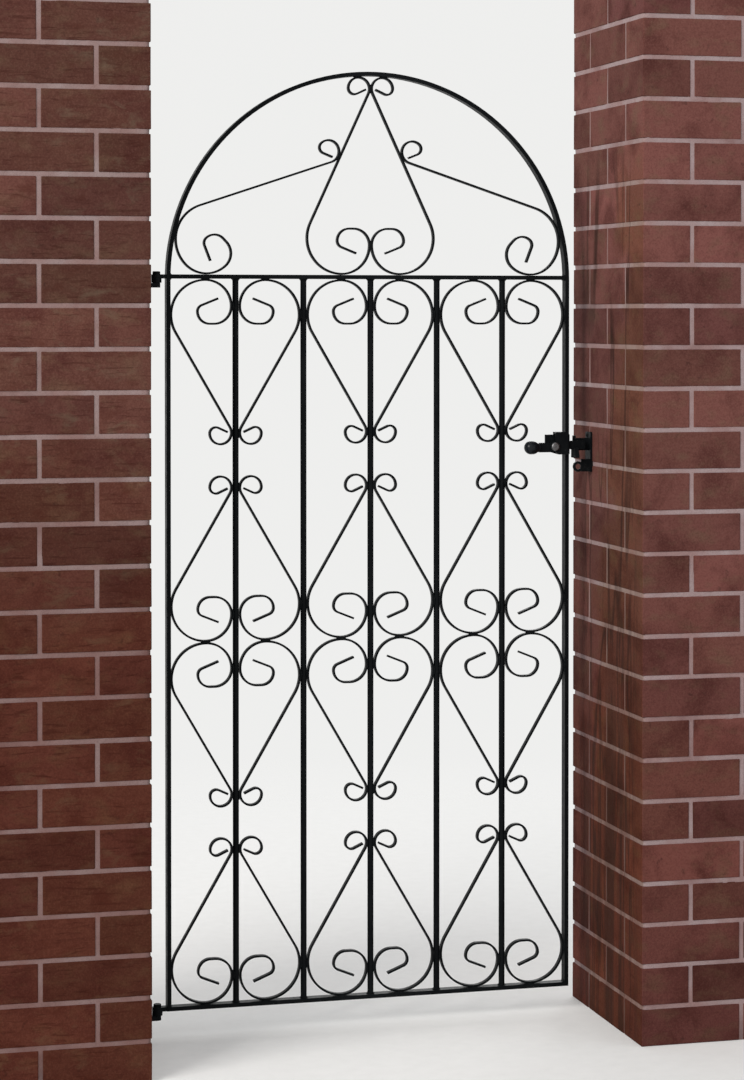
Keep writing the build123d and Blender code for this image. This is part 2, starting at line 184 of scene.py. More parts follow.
def noise_field(tree, place, scale, detail=3.0, rough=0.5, distortion=0.0):
    """Cloudy value, mostly between 0.3 and 0.7."""
    field = tree.nodes.new("ShaderNodeTexNoise")
    field.inputs["Scale"].default_value = scale
    field.inputs["Detail"].default_value = detail
    field.inputs["Roughness"].default_value = rough
    field.inputs["Distortion"].default_value = distortion
    tree.links.new(place, field.inputs["Vector"])
    return field.outputs[0]


def streaks(tree, place, scale, detail, rough=0.5, distortion=0.0):
    """Cloudy value drawn out by its own scale along each axis."""
    return noise_field(tree, stretched(tree, place, scale), 1.0, detail, rough, distortion)


def spread(tree, value, low, high, to_low=0.0, to_high=1.0):
    """Maps a value from one span to another, held at its ends."""
    ranged = tree.nodes.new("ShaderNodeMapRange")
    ranged.inputs["From Min"].default_value = low
    ranged.inputs["From Max"].default_value = high
    ranged.inputs["To Min"].default_value = to_low
    ranged.inputs["To Max"].default_value = to_high
    tree.links.new(value, ranged.inputs["Value"])
    return ranged.outputs["Result"]


def combine(tree, operation, first, second=0.0):
    """Arithmetic on values, each a socket or a plain number."""
    maths = tree.nodes.new("ShaderNodeMath")
    maths.operation = operation
    for socket, value in zip(maths.inputs, (first, second)):
        if isinstance(value, (int, float)):
            socket.default_value = value
        else:
            tree.links.new(value, socket)
    return maths.outputs[0]


def product(tree, first, *others):
    """All the values multiplied."""
    for other in others:
        first = combine(tree, "MULTIPLY", first, other)
    return first


def contour(tree, value, level, reach):
    """One along the line where a value crosses a level, fading to none beside it."""
    away = combine(tree, "ABSOLUTE", combine(tree, "SUBTRACT", value, level))
    return spread(tree, away, 0.0, reach, 1.0, 0.0)


def blend_colour(tree, amount, first, second, how="MIX"):
    """Mixes two colours, each a colour or a socket, by a socket or a number."""
    mix = tree.nodes.new("ShaderNodeMix")
    mix.data_type = "RGBA"
    mix.blend_type = how
    for socket, value in ((mix.inputs[0], amount), (mix.inputs[6], first), (mix.inputs[7], second)):
        if isinstance(value, bpy.types.NodeSocket):
            tree.links.new(value, socket)
        elif isinstance(value, tuple):
            socket.default_value = (*value, 1)
        else:
            socket.default_value = value
    return mix.outputs[2]


def lay(tree, base, field, low, high, most, colour):
    """Lays a colour over the base, up to the share most, where a field goes from low to high."""
    return blend_colour(tree, spread(tree, field, low, high, 0.0, most), base, colour)


def tint(tree, base, amount, colour):
    """Multiplies the base by a colour, by the given amount."""
    return blend_colour(tree, amount, base, colour, "MULTIPLY")


def bump(tree, height, distance, normal=None):
    """Relief of a given height in metres, laid over any earlier relief."""
    relief = tree.nodes.new("ShaderNodeBump")
    relief.inputs["Strength"].default_value = 1.0
    relief.inputs["Distance"].default_value = distance
    tree.links.new(height, relief.inputs["Height"])
    if normal is not None:
        tree.links.new(normal, relief.inputs["Normal"])
    return relief.outputs["Normal"]


def soft_edges(tree, radius):
    """Normal that is rounded over sharp edges."""
    rounding = tree.nodes.new("ShaderNodeBevel")
    rounding.samples = 4
    rounding.inputs["Radius"].default_value = radius
    return rounding.outputs["Normal"]


def connect(tree, shader, colour, rough, normal):
    """Joins colour, roughness and normal to the shader."""
    tree.links.new(colour, shader.inputs["Base Color"])
    tree.links.new(rough, shader.inputs["Roughness"])
    tree.links.new(normal, shader.inputs["Normal"])


# Paint, steel and plastic
def painted(name, gloss, relief, edge):
    """Satin black paint: gloss is its span of roughness, relief its waves, edge how far it is rounded."""
    made, tree, shader, place = new_material(name)
    clouds = noise_field(tree, place, 9.0, 4.0, 0.6)
    dust = noise_field(tree, place, 160.0, 5.0, 0.65)
    colour = blend_colour(tree, spread(tree, clouds, 0.35, 0.65), BLACK, WORN_BLACK)
    colour = lay(tree, colour, dust, 0.58, 0.78, 0.35, DUST)
    sheen_spots = noise_field(tree, place, 55.0, 4.0, 0.6)
    rough = spread(tree, sheen_spots, 0.3, 0.7, *gloss)
    shader.inputs["Specular IOR Level"].default_value = PAINT_SPECULAR
    waves = noise_field(tree, place, 130.0, 2.0)
    peel = noise_field(tree, place, 900.0, 2.0)
    normal = bump(tree, waves, relief, soft_edges(tree, edge))
    normal = bump(tree, peel, relief * 0.12, normal)
    connect(tree, shader, colour, rough, normal)
    return made


def turned_rings(tree, place):
    """Fine rings round the pivot's axis."""
    centred = tree.nodes.new("ShaderNodeMapping")
    centred.inputs["Location"].default_value = (-pivot_middle.x, 0, -pivot_middle.z)
    tree.links.new(place, centred.inputs["Vector"])
    rings = tree.nodes.new("ShaderNodeTexWave")
    rings.wave_type = "RINGS"
    rings.rings_direction = "Y"
    rings.inputs["Scale"].default_value = 260.0
    rings.inputs["Distortion"].default_value = 1.5
    tree.links.new(centred.outputs["Vector"], rings.inputs["Vector"])
    return rings.outputs["Fac"]


def bright_steel_finish():
    """Dull plated steel, turned."""
    made, tree, shader, place = new_material("bright_steel")
    tone = noise_field(tree, place, 220.0, 4.0, 0.6)
    bright, dull = (0.23, 0.228, 0.23), (0.14, 0.138, 0.14)
    colour = blend_colour(tree, spread(tree, tone, 0.35, 0.7), bright, dull)
    rough = spread(tree, tone, 0.3, 0.7, 0.40, 0.56)
    shader.inputs["Metallic"].default_value = 1.0
    normal = bump(tree, turned_rings(tree, place), 0.05 * MM, soft_edges(tree, 0.5 * MM))
    connect(tree, shader, colour, rough, normal)
    return made


def knob_finish():
    """Black moulded plastic with faint handling marks."""
    made, tree, shader, place = new_material("knob_plastic")
    tone = noise_field(tree, place, 60.0, 3.0)
    colour = blend_colour(tree, tone, (0.006, 0.0085, 0.011), (0.011, 0.014, 0.018))
    marks = streaks(tree, place, (300, 900, 900), 5.0, 0.7)
    rough = spread(tree, marks, 0.45, 0.75, 0.20, 0.40)
    shader.inputs["Specular IOR Level"].default_value = KNOB_SPECULAR
    waves = noise_field(tree, place, 150.0, 2.0)
    connect(tree, shader, colour, rough, bump(tree, waves, 0.12 * MM))
    return made


# Weathering and painted shade on bricks and mortar, set out by depth (along Y) and height in metres
WeatherAndShade = namedtuple("WeatherAndShade", "lines stain damp hinge_side facing")


def shadow_and_run_off_lines(tree, place, depth, height):
    """Dark lines that wander down the middle of a face, more of them lower down: thin painted shadow lines,
    and broader run-off streaks lower down.
    """
    thin = streaks(tree, place, (3.0, 10.0, 1.1), 2.0, 0.5, 0.5)
    fine = streaks(tree, place, (5.0, 21.0, 1.9), 2.0, 0.5, 0.4)
    bands = streaks(tree, place, (3.0, 30.0, 0.7), 4.0, 0.6)
    first = product(tree, contour(tree, thin, 0.47, 0.035), spread(tree, height, 1.75, 1.6))
    second = product(tree, contour(tree, fine, 0.52, 0.05), spread(tree, height, 1.3, 1.0, 0.0, 0.9))
    third = product(tree, spread(tree, bands, 0.52, 0.60), spread(tree, height, 0.9, 0.4, 0.0, 0.8))
    lines = combine(tree, "MAXIMUM", combine(tree, "MAXIMUM", first, second), third)
    off_middle = combine(tree, "ABSOLUTE", combine(tree, "ADD", depth, 0.01))
    return product(tree, lines, spread(tree, off_middle, 0.12, 0.18, 1.0, 0.1))


def corner_stain(tree, place, depth, height):
    """Brown stain by the front corner, which widens downwards."""
    wobble = spread(tree, noise_field(tree, place, 7.0, 4.0, 0.6), 0.3, 0.7, -0.06, 0.06)
    reach = spread(tree, height, 0.2, 1.6, 0.14, -0.10)
    past = combine(tree, "SUBTRACT", combine(tree, "ADD", depth, wobble), reach)
    return product(tree, spread(tree, past, -0.03, 0.03, 1.0, 0.0), spread(tree, height, 1.78, 1.6))


def foot_damp_and_shade(tree, place, height, hinge_side, facing):
    """Dampness at the foot, which stands higher on the hinge pier and on the passage's faces; its extra
    height and strength on the hinge pier are painted shadow.
    """
    # Full share on the hinge pier, where it is painted shadow, and on the passage's faces; 0.4 elsewhere
    share_by_place = combine(tree, "MAXIMUM", combine(tree, "MAXIMUM", hinge_side, facing), 0.4)
    wobble = spread(tree, noise_field(tree, place, 5.0, 4.0, 0.6), 0.3, 0.7, -0.12, 0.12)
    lifted = combine(tree, "ADD", height, wobble)
    rise = combine(tree, "SUBTRACT", lifted, product(tree, hinge_side, 0.25))
    return product(tree, spread(tree, rise, 0.55, 1.0, 1.0, 0.0), share_by_place)


def weather_and_shade(tree, place):
    """Amounts of dark lines, partly painted shadow and partly run-off, of stain, of dampness with painted
    shadow on the hinge pier, and ones on the hinge pier and on the passage's faces.
    """
    along_x, depth, height = axis_parts(tree, place)
    object_normal = tree.nodes.new("ShaderNodeTexCoord").outputs["Normal"]
    normal_x = axis_parts(tree, object_normal)[0]
    hinge_side = spread(tree, along_x, -0.01, 0.01, 1.0, 0.0)
    outward = product(tree, spread(tree, along_x, -0.01, 0.01, -1.0, 1.0), normal_x)
    facing = spread(tree, outward, -0.8, -0.5, 1.0, 0.0)
    lines = product(tree, shadow_and_run_off_lines(tree, place, depth, height), facing)
    stain = product(tree, corner_stain(tree, place, depth, height), facing)
    damp = foot_damp_and_shade(tree, place, height, hinge_side, facing)
    return WeatherAndShade(lines, stain, damp, hinge_side, facing)


def with_weather_and_shade(tree, base, marks_and_shade, tints, line_share, line_colour):
    """Base colour with weathering and painted shade over it: the three tints, dampness among them with
    painted shadow on the hinge pier, then the dark lines, partly painted shadow.
    """
    for amount, colour in zip((marks_and_shade.hinge_side, marks_and_shade.damp, marks_and_shade.stain), tints):
        base = tint(tree, base, amount, colour)
    return blend_colour(tree, product(tree, marks_and_shade.lines, line_share), base, line_colour)


def perpends(tree, place):
    """One at the upright joints, where the height lies within a brick, and none at the beds."""
    height = axis_parts(tree, place)[2]
    within_course = combine(tree, "MODULO", height, COURSE)
    return spread(tree, within_course, BRICK_HEIGHT - 1 * MM, BRICK_HEIGHT, 1.0, 0.0)


# Bricks and mortar
def attribute(tree, name):
    """Value kept per brick."""
    read = tree.nodes.new("ShaderNodeAttribute")
    read.attribute_name = name
    return read.outputs["Fac"]


def rough_skin(tree, place, base, amount):
    """Pale smears and short dark tears of the hinge pier's bricks: colour, and depth of the tears."""
    smears = streaks(tree, place, (15.0, 15.0, 28.0), 5.0, 0.65, 0.5)
    pale = product(tree, spread(tree, smears, 0.56, 0.72, 0.0, 0.5), amount)
    base = blend_colour(tree, pale, base, PALE_SMEAR)
    red = product(tree, spread(tree, smears, 0.46, 0.34, 0.0, 0.5), amount)
    base = blend_colour(tree, red, base, RED_SMEAR)
    torn = streaks(tree, place, (19.0, 19.0, 150.0), 4.0, 0.6, 0.6)
    tears = product(tree, spread(tree, torn, 0.56, 0.68), amount)
    return blend_colour(tree, product(tree, tears, 0.6), base, TEAR), tears


def clay_colour(tree, place, shade, clouds, grain, drag):
    """Colour of the fired clay itself: tone of each brick, then blotches, burns, speckle and drag marks."""
    tone = attribute(tree, "tone")
    base = blend_colour(tree, tone, BROWN_CLAY, RED_CLAY)
    purple = product(tree, spread(tree, shade, 0.1, 0.5, 0.7, 0.0), tone)
    base = blend_colour(tree, purple, base, PURPLE)
    base = lay(tree, base, clouds, 0.46, 0.68, 0.8, BLOTCH)
    olive = streaks(tree, place, (15.0, 15.0, 24.0), 4.0, 0.6)
    base = lay(tree, base, olive, 0.52, 0.72, 0.6, OLIVE)
    burnt = noise_field(tree, place, 60.0, 3.0, 0.55)
    base = lay(tree, base, burnt, 0.66, 0.76, 0.5, BURN)
    base = lay(tree, base, grain, 0.50, 0.70, 0.25, PALE_SPECKLE)
    base = lay(tree, base, grain, 0.50, 0.32, 0.3, DARK_SPECKLE)
    return lay(tree, base, drag, 0.5, 0.75, 0.12, DRAG_MARK)


def brick_finish():
    """Red-brown fired clay: every brick has its own tone and shade, and weathering and painted shade lie
    over all.
    """
    made, tree, shader, place = new_material("brick")
    shade = attribute(tree, "shade")
    clouds = noise_field(tree, place, 11.0, 4.0, 0.55, 0.5)
    grain = noise_field(tree, place, 330.0, 3.0, 0.6)
    drag = streaks(tree, place, (9.0, 9.0, 190.0), 4.0, 0.6)
    base = clay_colour(tree, place, shade, clouds, grain, drag)
    marks_and_shade = weather_and_shade(tree, place)
    base, tears = rough_skin(tree, place, base, marks_and_shade.hinge_side)
    # Weathering and painted shade: stain, dampness at the foot with painted shadow on the hinge pier, and
    # dark lines that are partly painted shadow lines
    base = with_weather_and_shade(tree, base, marks_and_shade, *BRICK_WEATHER_AND_SHADE)
    dimmed = tree.nodes.new("ShaderNodeHueSaturation")
    tree.links.new(base, dimmed.inputs["Color"])
    tree.links.new(spread(tree, shade, 0.0, 1.0, 0.74, 1.2), dimmed.inputs["Value"])
    rough = spread(tree, clouds, 0.3, 0.7, 0.78, 0.96)
    shader.inputs["Specular IOR Level"].default_value = MASONRY_SPECULAR
    normal = bump(tree, combine(tree, "SUBTRACT", drag, tears), 0.3 * MM)
    normal = bump(tree, noise_field(tree, place, 90.0, 4.0, 0.6), 0.9 * MM, normal)
    normal = bump(tree, grain, 0.3 * MM, normal)
    connect(tree, shader, dimmed.outputs["Color"], rough, normal)
    return made


def mortar_finish():
    """Pale pinkish grey mortar, sandy, a little stained by the bricks."""
    made, tree, shader, place = new_material("mortar")
    clouds = noise_field(tree, place, 9.0, 4.0, 0.6)
    base = blend_colour(tree, spread(tree, clouds, 0.38, 0.62), PALE_MORTAR, PINK_MORTAR)
    grit = noise_field(tree, place, 480.0, 3.0, 0.6)
    base = lay(tree, base, grit, 0.5, 0.72, 0.4, GRIT)
    soiled = noise_field(tree, place, 6.0, 4.0, 0.6)
    base = lay(tree, base, soiled, 0.55, 0.72, 0.6, BRICK_DUST)
    marks_and_shade = weather_and_shade(tree, place)
    base = tint(tree, base, product(tree, perpends(tree, place), marks_and_shade.facing), SOOT)
    # Weathering and painted shade: stain, dampness at the foot with painted shadow on the hinge pier, and
    # dark lines that are partly painted shadow lines
    base = with_weather_and_shade(tree, base, marks_and_shade, *MORTAR_WEATHER_AND_SHADE)
    rough = spread(tree, grit, 0.3, 0.7, 0.85, 0.98)
    shader.inputs["Specular IOR Level"].default_value = MASONRY_SPECULAR
    normal = bump(tree, noise_field(tree, place, 110.0, 4.0, 0.6), 1.0 * MM)
    normal = bump(tree, grit, 0.4 * MM, normal)
    connect(tree, shader, base, rough, normal)
    return made


def dress_nodes(finishes):
    """Gives each CAD node the finish that the record's slot names."""
    slot_of = {row["node"]: row["material_slot"] for row in frame["record"]["subparts"]}
    for name, obj in nodes.items():
        if not obj.material_slots:
            obj.data.materials.append(None)
        for holder in obj.material_slots:
            holder.material = finishes[slot_of[name]]


# Meshes
def finish_mesh(name, points, faces, paint, body, smooth_angle=40.0):
    """Mesh object from points and faces, painted, riding on a body."""
    mesh = bpy.data.meshes.new(name)
    mesh.from_pydata(points, [], faces)
    mesh.validate()
    mesh.update()
    mesh.shade_smooth()
    mesh.set_sharp_from_angle(angle=math.radians(smooth_angle))
    obj = bpy.data.objects.new(name, mesh)
    scene.collection.objects.link(obj)
    mesh.materials.append(paint)
    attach(obj, body)
    return obj


def add_shell(points, faces, shell):
    """Adds a shell's points and faces to those of the mesh that it is part of."""
    shell_points, shell_faces = shell
    base = len(points)
    points.extend(shell_points)
    faces.extend([i + base for i in face] for face in shell_faces)


def cuts(low, high):
    """Positions along one side of a brick: close together at its edges."""
    inner_low, inner_high = low + 2.5 * ARRIS, high - 2.5 * ARRIS
    count = max(2, round((inner_high - inner_low) / BRICK_GRID))
    inner = [inner_low + (inner_high - inner_low) * i / count for i in range(count + 1)]
    return [low, low + ARRIS, *inner, high - ARRIS, high]


def block_shell(*sides):
    """Closed shell of a block that is divided along each axis."""
    last = [len(side) - 1 for side in sides]
    points, index, faces = [], {}, []

    def point(ijk):
        """Number of the point at a place in the grid, made when first asked for."""
        if ijk not in index:
            index[ijk] = len(points)
            points.append(Vector([side[k] for side, k in zip(sides, ijk)]))
        return index[ijk]

    for axis in range(3):
        u, v = (axis + 1) % 3, (axis + 2) % 3
        for end in (0, last[axis]):
            for i in range(last[u]):
                for j in range(last[v]):
                    ring = []
                    for di, dj in ((0, 0), (1, 0), (1, 1), (0, 1)):
                        ijk = [0, 0, 0]
                        ijk[axis], ijk[u], ijk[v] = end, i + di, j + dj
                        ring.append(point(tuple(ijk)))
                    faces.append(ring if end else ring[::-1])
    return points, faces


# Brick piers
def worn_inset(p, seed, at_edge):
    """How far a point of a brick is set in: hollows everywhere, wear and chips at the edges."""
    offset = Vector((seed * 1.7, seed * 0.9, seed * 2.3))
    inset = HOLLOW_DEPTH * (0.5 + 0.5 * noise.noise(p * HOLLOWS_PER_METRE + offset))
    if at_edge:
        chip = noise.noise(p * CHIPS_PER_METRE + offset)
        inset += EDGE_WEAR * max(0.0, chip)
        inset += CHIP_DEPTH * max(0.0, chip - CHIP_LEVEL) / (1 - CHIP_LEVEL)
    return inset


def brick_block(low, high, seed):
    """One brick: rubbed-down arrises, a slightly uneven face and a few chips."""
    points, faces = block_shell(*(cuts(low[a], high[a]) for a in range(3)))
    shaped = []
    for p in points:
        core = Vector(min(max(p[a], low[a] + ARRIS), high[a] - ARRIS) for a in range(3))
        out = p - core
        at_edge = sum(abs(part) > ARRIS / 2 for part in out) > 1
        if out.length > ARRIS:
            p = core + out.normalized() * ARRIS
        inset = worn_inset(p, seed, at_edge)
        shaped.append(p + (core - p).normalized() * inset)
    return shaped, faces


def course_layout(turned):
    """Bricks of one course round a pier, as (x, y) spans from its middle; turned swaps x and y."""
    half = BRICK_LENGTH + JOINT / 2
    inner = half - BRICK_WIDTH
    rows = []
    for end in (-1, 1):
        y_span = sorted((end * half, end * inner))
        for side in (-1, 1):
            rows.append((sorted((side * half, side * JOINT / 2)), y_span))
    for side in (-1, 1):
        rows.append((sorted((side * half, side * inner)), [-BRICK_LENGTH / 2, BRICK_LENGTH / 2]))
    if turned:
        return [(y_span, x_span) for x_span, y_span in rows]
    return rows


def course_count(height):
    """Courses in a pier of this height, which ends with a brick."""
    return round((height + JOINT) / COURSE)


def held(value):
    """Value held between nought and one."""
    return min(max(value, 0.0), 1.0)


def lay_bricks(node, paint):
    """Bricks of one pier, inside the CAD solid that they and the mortar replace."""
    low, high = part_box(node)
    middle = (low + high) / 2
    draw = random.Random(DRAW_SEED[node])
    points, faces, tones, shades = [], [], [], []
    for course in range(course_count(high.z)):
        z_low = course * COURSE
        z_high = min(z_low + BRICK_HEIGHT, high.z)
        for x_span, y_span in course_layout(course % 2 == 1):
            slack = [draw.uniform(0.0, BRICK_SLACK) for _ in range(6)]
            brick_low = Vector((middle.x + x_span[0], middle.y + y_span[0], z_low)) + Vector(slack[:3])
            brick_high = Vector((middle.x + x_span[1], middle.y + y_span[1], z_high)) - Vector(slack[3:])
            block = brick_block(brick_low, brick_high, draw.uniform(0, 400))
            add_shell(points, faces, block)
            tone = draw.gauss(MEAN_TONE[node], TONE_SPREAD)
            shade = draw.gauss(MEAN_SHADE, SHADE_SPREAD) + SHADE_RISE * (z_low / high.z - 0.5)
            tones += [held(tone)] * len(block[0])
            shades += [held(shade)] * len(block[0])
    bricks = finish_mesh(f"{node}_bricks", points, faces, paint, "posts")
    for name, values in (("tone", tones), ("shade", shades)):
        layer = bricks.data.attributes.new(name, "FLOAT", "POINT")
        layer.data.foreach_set("value", values)
    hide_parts(node)


def mortar_levels(foot, top, courses):
    """Heights at which the mortar is divided: at both edges of each bed and in its middle."""
    levels = [foot]
    for course in range(1, courses):
        bed_top = course * COURSE
        bed_low = bed_top - JOINT
        levels += [bed_low - BED_EDGE, bed_low + BED_EDGE, bed_top - JOINT / 2]
        levels += [bed_top - BED_EDGE, bed_top + BED_EDGE]
    return levels + [top]


def fill_joints(node, paint):
    """Mortar of one pier: one rough mass behind the bricks' faces."""
    low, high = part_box(node)
    middle = (low + high) / 2
    courses = course_count(high.z)
    low = Vector((low.x + JOINT_DEPTH, low.y + JOINT_DEPTH, MORTAR_FOOT))
    high = Vector((high.x - JOINT_DEPTH, high.y - JOINT_DEPTH, high.z - JOINT_DEPTH))
    steps = range(MORTAR_SPANS + 1)
    across = [[low[a] + (high[a] - low[a]) * i / MORTAR_SPANS for i in steps] for a in (0, 1)]
    points, faces = block_shell(*across, mortar_levels(low.z, high.z, courses))
    shaped = []
    for p in points:
        lumps = LUMP_HEIGHT * noise.noise(p * LUMPS_PER_METRE)
        rough = lumps + SAND_HEIGHT * noise.noise(p * SAND_PER_METRE)
        out = Vector((p.x - middle.x, p.y - middle.y, 0))
        if p.z > high.z - ON_FACE:
            out = Vector((0, 0, 1))
        elif p.z < low.z + ON_FACE:
            rough = 0.0
        elif min(abs(out.x), abs(out.y)) > (high.x - low.x) / 2 - ON_FACE:
            rough -= CORNER_WEAR
        shaped.append(p + out.normalized() * rough)
    fill = finish_mesh(f"{node}_mortar", shaped, faces, paint, "posts", 180.0)
    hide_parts(node)


# Welds where scrolls, bars and rails meet
SCROLLS = ("scroll_pair", "spade", "side_scroll")
GATE_FRAME = ["hinge_stile", "latch_stile", "bow_top", "mid_rail", "bottom_rail"]
gate_metal = [name for name in nodes if name.startswith(("infill_bar", *SCROLLS))] + GATE_FRAME


def tree_of(obj):
    """Search tree of a node's mesh, in the row frame."""
    corners = [vertex.co for vertex in obj.data.vertices]
    return BVHTree.FromPolygons(corners, [list(face.vertices) for face in obj.data.polygons])


def contacts(name, trees):
    """Places where a scroll is seated on a neighbour: point, nearest point and neighbour."""
    hits_on = {}
    for vertex in nodes[name].data.vertices:
        p = Vector((vertex.co.x, GATE_Y, vertex.co.z))
        for other, tree in trees.items():
            if other == name:
                continue
            near, _, _, gap = tree.find_nearest(p, SEAT_REACH)
            if near is not None:
                hits_on.setdefault(other, []).append((gap, p, near))
    found = []
    for other, hits in hits_on.items():
        hits.sort(key=lambda hit: hit[0])
        kept = []
        for _, p, near in hits:
            if all((p - q).length > SEAT_SPACING for q, _ in kept):
                kept.append((p, near))
        found += [(p, near, other) for p, near in kept]
    return found


def bead(centre, along, length, thick, seed):
    """Short weld bead, rippled and uneven: length and thick are half its sizes."""
    ball = bmesh.new()
    bmesh.ops.create_icosphere(ball, subdivisions=3, radius=1.0)
    turn = along.to_track_quat("X", "Y").to_matrix()
    points = []
    for vertex in ball.verts:
        c = vertex.co
        lump = noise.noise(c * 1.6 + Vector((seed, 0, 0)))
        girth = thick * (1.0 + 0.10 * math.sin(c.x * 9.0 + seed) + 0.18 * lump)
        points.append(centre + turn @ Vector((c.x * length, c.y * girth, c.z * girth)))
    faces = [[v.index for v in f.verts] for f in ball.faces]
    ball.free()
    return points, faces


def collar(centre, up, radius, seed):
    """Fillet of weld round the end of an upright bar; its profile is in millimetres out and up."""
    steps = 28
    profile = [(0.0, -0.5), (2.1, -0.3), (2.4, 0.5), (1.3, 1.3)]
    profile += [(0.6, 2.4), (0.0, 3.1), (-1.0, 2.6), (-1.0, -0.3)]
    points, faces = [], []
    for i in range(steps):
        angle = 2 * math.pi * i / steps
        lump = noise.noise(Vector((math.cos(angle), math.sin(angle), seed)))
        swell = 1.0 + 0.18 * math.sin(angle * 9 + seed) + 0.25 * lump
        for out, high in profile:
            r = radius + out * MM * (swell if out > 0 else 1.0)
            lift = up * high * MM * (swell if high > 0 else 1.0)
            points.append(centre + Vector((r * math.cos(angle), r * math.sin(angle), lift)))
    count = len(profile)
    for i in range(steps):
        j = (i + 1) % steps
        for k in range(count):
            m = (k + 1) % count
            ring = [i * count + k, j * count + k, j * count + m, i * count + m]
            faces.append(ring if up > 0 else ring[::-1])
    return points, faces


def weld_scrolls(points, faces):
    """A bead at each face of the gate wherever a scroll is seated on a neighbour."""
    trees = {name: tree_of(nodes[name]) for name in gate_metal}
    found = []
    for name in gate_metal:
        if name.startswith(SCROLLS):
            found += contacts(name, trees)
    done = []
    for p, near, other in found:
        spot = (p + near) / 2
        if any((spot - q).length < BEAD_SPACING for q in done):
            continue
        done.append(spot)
        to_other = near - p
        to_other.y = 0
        if to_other.length < 1e-6:
            continue
        along = Vector((-to_other.z, 0, to_other.x)).normalized()
        length, proud = FRAME_BEAD if other in GATE_FRAME else BAR_BEAD
        for face in (-1, 1):
            centre = Vector((spot.x, GATE_Y + face * (STRIP_HALF + proud), spot.z))
            centre += to_other.normalized() * BEAD_SHIFT
            add_shell(points, faces, bead(centre, along, length, BEAD_THICK, len(done) * 2.7 + face))


def weld_bars(points, faces):
    """A collar round each end of each infill bar."""
    for number in range(1, 6):
        low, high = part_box(f"infill_bar_{number}")
        for z, up in ((low.z, 1), (high.z, -1)):
            centre = Vector(((low.x + high.x) / 2, GATE_Y, z))
            add_shell(points, faces, collar(centre, up, (high.x - low.x) / 2, number * 3.1 + z))


def weld_rails(points, faces):
    """Fillets in the corners of rail and stile: on top, underneath and at both faces."""
    for rail in ("mid_rail", "bottom_rail"):
        low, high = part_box(rail)
        for x, side in ((low.x, -1), (high.x, 1)):
            for z in (low.z, high.z):
                if rail == "bottom_rail" and z == low.z:
                    continue
                centre = Vector((x - side * TOP_FILLET_IN, GATE_Y, z))
                shell = bead(centre, Vector((0, 1, 0)), TOP_FILLET, BEAD_THICK, z * 7 + side)
                add_shell(points, faces, shell)
            for face in (-1, 1):
                centre = Vector((x, GATE_Y + face * FACE_FILLET_OUT, (low.z + high.z) / 2))
                shell = bead(centre, Vector((0, 0, 1)), FACE_FILLET, FACE_FILLET_THICK, z * 5 + face)
                add_shell(points, faces, shell)


def weld_gate(paint):
    """All the gate's welds as one piece."""
    points, faces = [], []
    weld_scrolls(points, faces)
    weld_bars(points, faces)
    weld_rails(points, faces)
    finish_mesh("welds", points, faces, paint, "gate", 60.0)


# Screws that hold the wall plates
def screw_head(base, way, turn):
    """Round head with a cross recess, on a face that looks along way."""
    steps, points, faces = 24, [], []
    rings = [(1.0, -0.35), (1.0, 0.15), (0.93, 0.45), (0.75, 0.75), (0.5, 0.93), (0.34, 0.98)]
    side = way.orthogonal().normalized()
    other = way.cross(side)
    for out, lift in rings:
        for i in range(steps):
            angle = 2 * math.pi * i / steps + turn
            between_arms = out < 0.4 and (i % 6) in (2, 3, 4)
            r = SCREW_RADIUS * out * (0.55 if between_arms else 1.0)
            reach = (side * math.cos(angle) + other * math.sin(angle)) * r
            points.append(base + way * lift * SCREW_HEIGHT + reach)
    rim = (len(rings) - 1) * steps
    for i in range(steps):
        points.append(points[rim + i] - way * 0.6 * SCREW_HEIGHT)
    for ring in range(len(rings)):
        for i in range(steps):
            j = (i + 1) % steps
            a = ring * steps
            faces.append([a + i, a + j, a + steps + j, a + steps + i])
    faces.append(list(range(rim + steps, rim + 2 * steps)))
    faces.append(list(range(steps))[::-1])
    return points, faces


def screw_spots():
    """Places of the screws and the ways that they look: two in each wall plate, two in the keeper."""
    spots = []
    for which in ("upper", "lower"):
        low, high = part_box(f"hinge_plate_{which}")
        for z in (low.z + HINGE_SCREW_IN, high.z - HINGE_SCREW_IN):
            spots.append((Vector((high.x, (low.y + high.y) / 2, z)), Vector((1, 0, 0))))
    low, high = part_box("latch_keeper")
    for z in (high.z - KEEPER_SCREW_TOP, low.z + KEEPER_SCREW_FOOT):
        spot = Vector((high.x - KEEPER_PLATE, GATE_Y - KEEPER_SCREW_OUT, z))
        spots.append((spot, Vector((-1, 0, 0))))
    return spots


def fasten_plates(paint):
    """All the screws as one piece."""
    points, faces = [], []
    for number, (base, way) in enumerate(screw_spots()):
        add_shell(points, faces, screw_head(base, way, number * 0.7))
    finish_mesh("plate_screws", points, faces, paint, "posts", 35.0)


